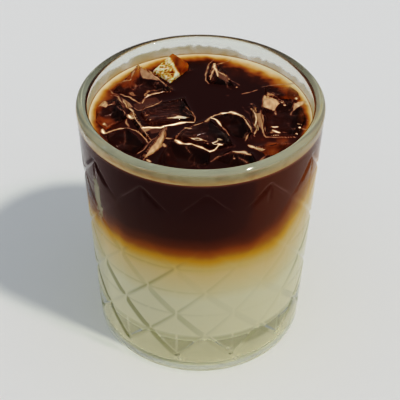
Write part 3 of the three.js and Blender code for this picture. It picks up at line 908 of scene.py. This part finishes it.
# Painted red-brown glow in the drink's top, as a place, a reach and a strength
PAINTED_GLOWS = [
    ((-32.5, -1), 5.0, 0.42),
    ((-30, -6), 4.5, 0.3),
    ((-33, 12), 4.0, 0.3),
    ((-23, -14), 5.0, 0.2),
    ((34.5, 1), 4.0, 0.42),
    ((33.5, -6), 4.0, 0.3),
    ((23, -17.8), 3.2, 0.55),
    ((27, -15), 4.0, 0.35),
    ((32.3, 14), 3.5, 0.55),
    ((-24.5, 24), 4.5, 0.28),
    ((-19, 29), 4.0, 0.36),
    ((20, -14), 3.5, 0.25),
]
# How far back a place looks on the plane of the drink for each millimetre that it stands above it
CAMERA_SLOPE = 1.22


def path_distance(flat, path):
    """Distance to the nearest place on a path, and how far along the path that place is, from 0 to 1."""
    nearest = np.full(len(flat), np.inf)
    progress = np.zeros(len(flat))
    steps = np.linalg.norm(np.diff(path, axis=0), axis=1)
    starts = np.concatenate([[0], np.cumsum(steps)]) / steps.sum()
    for k in range(len(steps)):
        a, b = np.array(path[k]), np.array(path[k + 1])
        along = b - a
        rel = flat - a
        share = np.clip(rel @ along / (along @ along), 0, 1)
        distance = np.linalg.norm(rel - share[:, None] * along, axis=1)
        closer = distance < nearest
        nearest = np.where(closer, distance, nearest)
        progress = np.where(closer, starts[k] + share * (starts[k + 1] - starts[k]), progress)
    return nearest, progress


def crema_and_highlights(points, near_ice):
    """Thickness of the crema and painted highlights at each place, from 0 to 1."""
    flat = points[:, :2] + np.stack([0 * points[:, 2], (points[:, 2] - DRINK_LEVEL) * CAMERA_SLOPE], -1)
    wobble = np.stack([noise_at(points, 2.5, 31), noise_at(points, 2.5, 32)], -1)
    flat = flat + 0.4 * wobble
    thickness = np.zeros(len(points))
    swell = 0.68 * (1 + 0.7 * noise_at(points, 2.2, 35))
    broken = smooth_step(-0.5, 0.25, noise_at(points, 1.6, 33))
    for strength, width, path in CREMA_AND_HIGHLIGHT_PATHS:
        distance, progress = path_distance(flat, path)
        taper = 0.45 + 0.55 * np.sin(math.pi * np.clip(0.12 + 0.8 * progress, 0, 1))
        stroke = np.exp(-(distance / (swell * taper * width)) ** 3)
        whole = 1 - 0.75 * (1 - broken) * (1.1 - strength)
        thickness = np.maximum(thickness, strength * stroke * whole)
    for strength, facet in CREMA_AND_HIGHLIGHT_FACETS:
        inside = smooth_step(0.25, -0.25, signed_distance(flat, np.array(facet, float)))
        streaks = 0.92 + 0.25 * noise_at(points * (1, 0.4, 1), 0.9, 34)
        thickness = np.maximum(thickness, strength * inside * streaks)
    threads = np.exp(-(noise_at(points, 5.0, 36) / 0.035) ** 2)
    threads = threads + np.exp(-(noise_at(points, 3.2, 37) / 0.04) ** 2)
    patchy = smooth_step(0.0, 0.4, noise_at(points, 6.0, 38))
    thickness = np.maximum(thickness, 0.3 * threads * patchy * smooth_step(1.8, 0.4, near_ice))
    return np.clip(thickness, 0, 1)


TOP_RINGS = 110
# Dips in the coffee's top under the ice
POCKET_DEPTH = 7.0
POCKET_SLOPE = 1.2
MENISCUS_HEIGHT = 0.45
MENISCUS_WIDTH = 0.8
# Where the painted light at the drink's edge is wider: azimuth and reach in degrees, and how much wider
WIDER_PAINTED_EDGE_LIGHT = [(143, 26, 4.2), (-132, 30, 2.4), (180, 20, 0.5), (110, 14, 1.0), (-80, 25, 0.8)]


def painted_edge_light(points, brim_radius, near_ice):
    """How pale the drink's top is painted, a painted light: 1 at the wall, where it is thin, and 0 where
    it is deep and dark, with painted glows and a little under the ice.
    """
    azimuth = np.degrees(azimuth_of(points))
    gap = brim_radius - np.linalg.norm(points[:, :2], axis=1)
    blotches = noise_at(points, 4.0, 3) + 0.5 * noise_at(points, 1.7, 4)
    width = 2.1 + 0.5 * blotches
    for place, reach, wider in WIDER_PAINTED_EDGE_LIGHT:
        away = (azimuth - place + 180) % 360 - 180
        width = width + wider * np.exp(-(away / reach) ** 2) * (1 + 0.5 * blotches)
    tone = np.exp(-(np.maximum(gap, 0) / width) ** 1.8)
    for place, reach, strength in PAINTED_GLOWS:
        distance = np.linalg.norm(points[:, :2] - place, axis=1)
        tone = np.maximum(tone, strength * np.exp(-(distance / reach) ** 2) * (1 + 0.5 * blotches))
    streaks = noise_at(points * (0.35, 1, 1), 1.5, 5)
    below_ice = smooth_step(0.3, -0.8, near_ice) * (0.12 + 0.12 * streaks)
    return np.clip(np.maximum(tone, below_ice), 0, 1)


def make_coffee(outlines):
    azimuth = drink_azimuths()
    brim = DRINK_LEVEL + MENISCUS_HEIGHT
    brim_radius = float(drink_radius(brim))
    rings = meeting_rings(azimuth)[::-1]
    rings += side_rings(azimuth, meeting_height(azimuth), brim, COFFEE_SIDE_ROWS)
    top_start = len(rings)
    rings += [polar(azimuth, brim_radius * (1 - k / TOP_RINGS), DRINK_LEVEL) for k in range(1, TOP_RINGS)]
    points = np.concatenate(rings + [np.array([[0, 0, LAYER_HEIGHT], [0, 0, DRINK_LEVEL]])])
    on_top = np.zeros(len(points), bool)
    on_top[top_start * DRINK_COLUMNS:] = True
    on_top[len(rings) * DRINK_COLUMNS] = False
    flat = points[on_top, :2]
    radius = np.linalg.norm(flat, axis=1)
    near_ice = np.min([signed_distance(flat, outline) for outline in outlines.values()], axis=0)
    climb = np.exp(-(brim_radius - radius) / 1.0) + np.exp(-np.maximum(near_ice, 0) / MENISCUS_WIDTH)
    dip = POCKET_DEPTH * (1 - np.exp(np.minimum(near_ice, 0) / POCKET_SLOPE))
    points[on_top, 2] = DRINK_LEVEL + MENISCUS_HEIGHT * np.minimum(climb, 1) - dip
    piece = mesh_object("coffee_layer", points, closed_rings(len(rings), DRINK_COLUMNS))
    crease(piece, top_start - COFFEE_SIDE_ROWS - 1)
    paint(piece, "layer", layer_tone(points))
    # The painted light at the drink's edge, its painted glows and a little under the ice
    edge = np.zeros(len(points))
    edge[on_top] = painted_edge_light(points[on_top], brim_radius, near_ice)
    paint(piece, "edge", edge)
    film = np.zeros(len(points))
    film[on_top] = crema_and_highlights(points[on_top], near_ice)
    brim_film = 0.3 * smooth_step(DRINK_LEVEL - 0.7, DRINK_LEVEL + 0.1, points[:, 2]) * ~on_top
    paint(piece, "film", np.maximum(film, brim_film))
    first_on_top = (top_start - 1) * DRINK_COLUMNS
    use_second_material(piece.data, triangles_of(piece.data).min(1) >= first_on_top)
    return piece


def coffee_side_material():
    material, nodes, links, shader = drink_material("coffee_through_glass", "layer", LAYER_TONES)
    set_inputs(shader, Roughness=0.6, Specular_IOR_Level=0.0)
    add_crema_and_highlights(nodes, links, shader)
    return material


def coffee_top_material():
    # Colours of the coffee's top from dark to pale, picked by its painted light
    tones = [
        (0.0, (63, 30, 25)),
        (0.2, (82, 40, 25)),
        (0.42, (154, 92, 42)),
        (0.65, (192, 130, 66)),
        (0.85, (216, 182, 130)),
        (1.0, (224, 215, 188)),
    ]
    material, nodes, links, shader = drink_material("coffee_top", "edge", tones)
    set_inputs(shader, Roughness=0.06, IOR=1.34)
    add_crema_and_highlights(nodes, links, shader)
    return material


# Ice

GOLDEN_ICE = "ice_01"
# Share of the golden ice that is cloudy rather than clear
GOLDEN_CLOUD = 0.72
ICE_VOXEL = 0.4
ICE_SOFTENING = 0.5
ICE_SOFTENING_ROUNDS = 2
# How far melting moves the surface, in broad and in fine bumps, and the golden ice's share of that
BROAD_BUMP = 0.3
FINE_BUMP = 0.09
GOLDEN_MELTING = 0.1


def ice_material():
    material, nodes, links, output = new_material("wet_ice")
    shader = nodes.new("ShaderNodeBsdfPrincipled")
    set_inputs(shader, Base_Color=(0.97, 0.90, 0.85, 1), Roughness=0.03, IOR=1.31, Transmission_Weight=1.0)
    # Crema and painted highlights on the ice, which glow where thickest
    tone, cover, glint = crema_and_highlight_colour(nodes, links)
    coat = nodes.new("ShaderNodeBsdfPrincipled")
    set_inputs(coat, Roughness=0.25)
    links.new(tone, coat.inputs["Base Color"])
    links.new(tone, coat.inputs["Emission Color"])
    links.new(glint, coat.inputs["Emission Strength"])
    mixed = mix_shaders(nodes, links, cover, shader.outputs["BSDF"], coat.outputs["BSDF"])
    clear_to_light(nodes, links, output, mixed, (1, 1, 1, 1))
    return material


def golden_ice_material():
    material, nodes, links, output = new_material("golden_ice")
    tone = ramp(nodes, links, painted(nodes, "crackle"), [
        (0.0, colour(120, 62, 14)),
        (0.3, colour(190, 118, 40)),
        (0.5, colour(222, 180, 96)),
        (0.75, colour(244, 228, 186)),
        (1.0, colour(255, 250, 232)),
    ])
    shader = nodes.new("ShaderNodeBsdfPrincipled")
    set_inputs(shader, Roughness=0.08, IOR=1.31, Subsurface_Weight=0.6, Subsurface_Scale=0.002)
    clear = nodes.new("ShaderNodeBsdfPrincipled")
    set_inputs(clear, Base_Color=(0.95, 0.72, 0.4, 1), Roughness=0.03, IOR=1.31, Transmission_Weight=1.0)
    links.new(tone, shader.inputs["Base Color"])
    mixed = mix_shaders(nodes, links, GOLDEN_CLOUD, clear.outputs["BSDF"], shader.outputs["BSDF"])
    clear_to_light(nodes, links, output, mixed, (1, 0.85, 0.6, 1))
    return material


def golden_tone(points):
    """How pale the golden ice is: crackled at the left, amber at the right, with a pale ridge between."""
    seen_y = points[:, 1] + (points[:, 2] - DRINK_LEVEL) * CAMERA_SLOPE
    side = points[:, 0] + 10.5 - 0.356 * (33 - seen_y)
    crackled = smooth_step(0.4, -0.4, side)
    ridge = np.exp(-((side + 0.7) / 0.6) ** 2)
    cells = 1 - np.abs(noise_at(points, 1.1, 61)) * 3.0
    crackle = 0.38 + 0.5 * cells + 0.5 * noise_at(points, 3.0, 62) + 0.5 * noise_at(points, 0.6, 63)
    plain = 0.2 + 0.35 * noise_at(points, 2.5, 64)
    return np.clip(np.maximum(crackled * crackle + (1 - crackled) * plain, 0.85 * ridge), 0, 1)


def make_ice(name, material):
    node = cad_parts[name]
    obj = link(bpy.data.objects.new(name + "_melting", node.data.copy()))
    remesh = obj.modifiers.new("remesh", "REMESH")
    remesh.mode = "VOXEL"
    remesh.voxel_size = ICE_VOXEL * MM
    remesh.use_smooth_shade = True
    soften = obj.modifiers.new("soften", "SMOOTH")
    soften.factor = ICE_SOFTENING
    soften.iterations = ICE_SOFTENING_ROUNDS
    bpy.context.view_layer.update()
    evaluated = obj.evaluated_get(bpy.context.evaluated_depsgraph_get())
    mesh = bpy.data.meshes.new_from_object(evaluated)
    obj.modifiers.clear()
    obj.data = mesh
    points = points_of(obj)
    seed = int(name[-2:])
    melted = GOLDEN_MELTING if name == GOLDEN_ICE else 1.0
    bumps = BROAD_BUMP * noise_at(points, 4.0, seed) + FINE_BUMP * noise_at(points, 1.6, seed + 20)
    points = points + normals_of(mesh) * (melted * bumps)[:, None]
    mesh.vertices.foreach_set("co", (points * MM).astype(np.float32).ravel())
    mesh.update()
    # Crema and painted highlights where the ice stands above the drink
    film = np.zeros(len(points))
    above = points[:, 2] > DRINK_LEVEL - 1
    film[above] = crema_and_highlights(points[above], np.zeros(above.sum()))
    paint(obj, "film", film)
    paint(obj, "crackle", golden_tone(points) if name == GOLDEN_ICE else np.zeros(len(points)))
    obj.data.materials.clear()
    dress(obj, name, "ice", material)


def dress(piece, node, slot, *materials):
    for material in materials:
        piece.data.materials.append(material)
    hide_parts(node)
    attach(piece, "root")


# Room: a pale floor, soft light and the photograph's camera

# In metres
FLOOR_SIZE = 2.0
SKY_STRENGTH = 0.62
# The camera, fitted to the rim, the walls and the foot in the photograph: target and distance in metres
CAMERA_TARGET = 0.0499
CAMERA_DISTANCE = 0.400
CAMERA_ELEVATION = math.radians(39.31)
CAMERA_ROLL = math.radians(0.39)
FOCAL_PIXELS = 1134.4
PICTURE_PIXELS = 400
SENSOR = 36.0


def make_floor():
    half = FLOOR_SIZE / 2
    mesh = bpy.data.meshes.new("floor")
    corners = [(-half, -half, 0), (half, -half, 0), (half, half, 0), (-half, half, 0)]
    mesh.from_pydata(corners, [], [(0, 1, 2, 3)])
    floor = link(bpy.data.objects.new("floor", mesh))
    material, nodes, links, output = new_material("pale_floor")
    shader = nodes.new("ShaderNodeBsdfPrincipled")
    set_inputs(shader, Base_Color=(0.78, 0.78, 0.78, 1), Roughness=0.9, Specular_IOR_Level=0.0)
    links.new(shader.outputs["BSDF"], output.inputs["Surface"])
    mesh.materials.append(material)


def make_camera():
    data = bpy.data.cameras.new("camera")
    data.sensor_width = SENSOR
    data.lens = SENSOR * FOCAL_PIXELS / PICTURE_PIXELS
    camera = link(bpy.data.objects.new("camera", data))
    back = Vector((0, -math.cos(CAMERA_ELEVATION), math.sin(CAMERA_ELEVATION)))
    camera.location = Vector((0, 0, CAMERA_TARGET)) + back * CAMERA_DISTANCE
    turn = (-back).to_track_quat("-Z", "Y").to_matrix() @ Matrix.Rotation(CAMERA_ROLL, 3, "Z")
    camera.rotation_euler = turn.to_euler()
    bpy.context.scene.camera = camera


def make_sun():
    data = bpy.data.lights.new("key", "SUN")
    data.energy = SUN_STRENGTH
    data.angle = SUN_WIDTH
    data.color = SUN_TINT
    sun = link(bpy.data.objects.new("key", data))
    sun.rotation_euler = Vector(SUN_DIRECTION).to_track_quat("Z", "Y").to_euler()


def make_sky():
    world = bpy.data.worlds.new("sky")
    bpy.context.scene.world = world
    world.use_nodes = True
    nodes, links = world.node_tree.nodes, world.node_tree.links
    place = nodes.new("ShaderNodeTexCoord")
    split = nodes.new("ShaderNodeSeparateXYZ")
    links.new(place.outputs["Generated"], split.inputs["Vector"])
    spread = map_range(nodes, links, split.outputs["Y"], From_Min=-1.0)
    shade = ramp(nodes, links, spread, [
        (0.0, (0.90, 0.95, 1.0, 1)),
        (0.5, (0.86, 0.92, 0.97, 1)),
        (0.75, (0.70, 0.75, 0.80, 1)),
        (1.0, (0.62, 0.66, 0.70, 1)),
    ])
    links.new(shade, nodes["Background"].inputs["Color"])
    nodes["Background"].inputs["Strength"].default_value = SKY_STRENGTH


# How the picture's darks are deepened, as a camera does: light values and the values shown
TONE_CURVE = [(0.03, 0.0045), (0.06, 0.0155), (0.1, 0.045), (0.2, 0.168), (0.35, 0.34)]


def set_view():
    scene = bpy.context.scene
    scene.view_settings.view_transform = "Standard"
    scene.view_settings.look = "None"
    scene.view_settings.use_curve_mapping = True
    tones = scene.view_settings.curve_mapping
    for value, shown in TONE_CURVE:
        tones.curves[3].points.new(value, shown)
    tones.update()
    scene.cycles.use_denoising = True
    scene.cycles.max_bounces = 16
    scene.cycles.transmission_bounces = 12
    scene.cycles.diffuse_bounces = 10
    scene.cycles.glossy_bounces = 6
    scene.cycles.transparent_max_bounces = 12
    scene.cycles.caustics_reflective = False
    scene.cycles.caustics_refractive = False


make_floor()
make_camera()
make_sun()
make_sky()
set_view()

dress(make_glass(), "glass", "glass", glass_material())
dress(make_tonic(), "tonic", "tonic", tonic_material(), underside_material())
outlines = ice_outlines()
dress(make_coffee(outlines), "coffee", "coffee", coffee_side_material(), coffee_top_material())
wet_ice = ice_material()
for ice_name in outlines:
    make_ice(ice_name, golden_ice_material() if ice_name == GOLDEN_ICE else wet_ice)
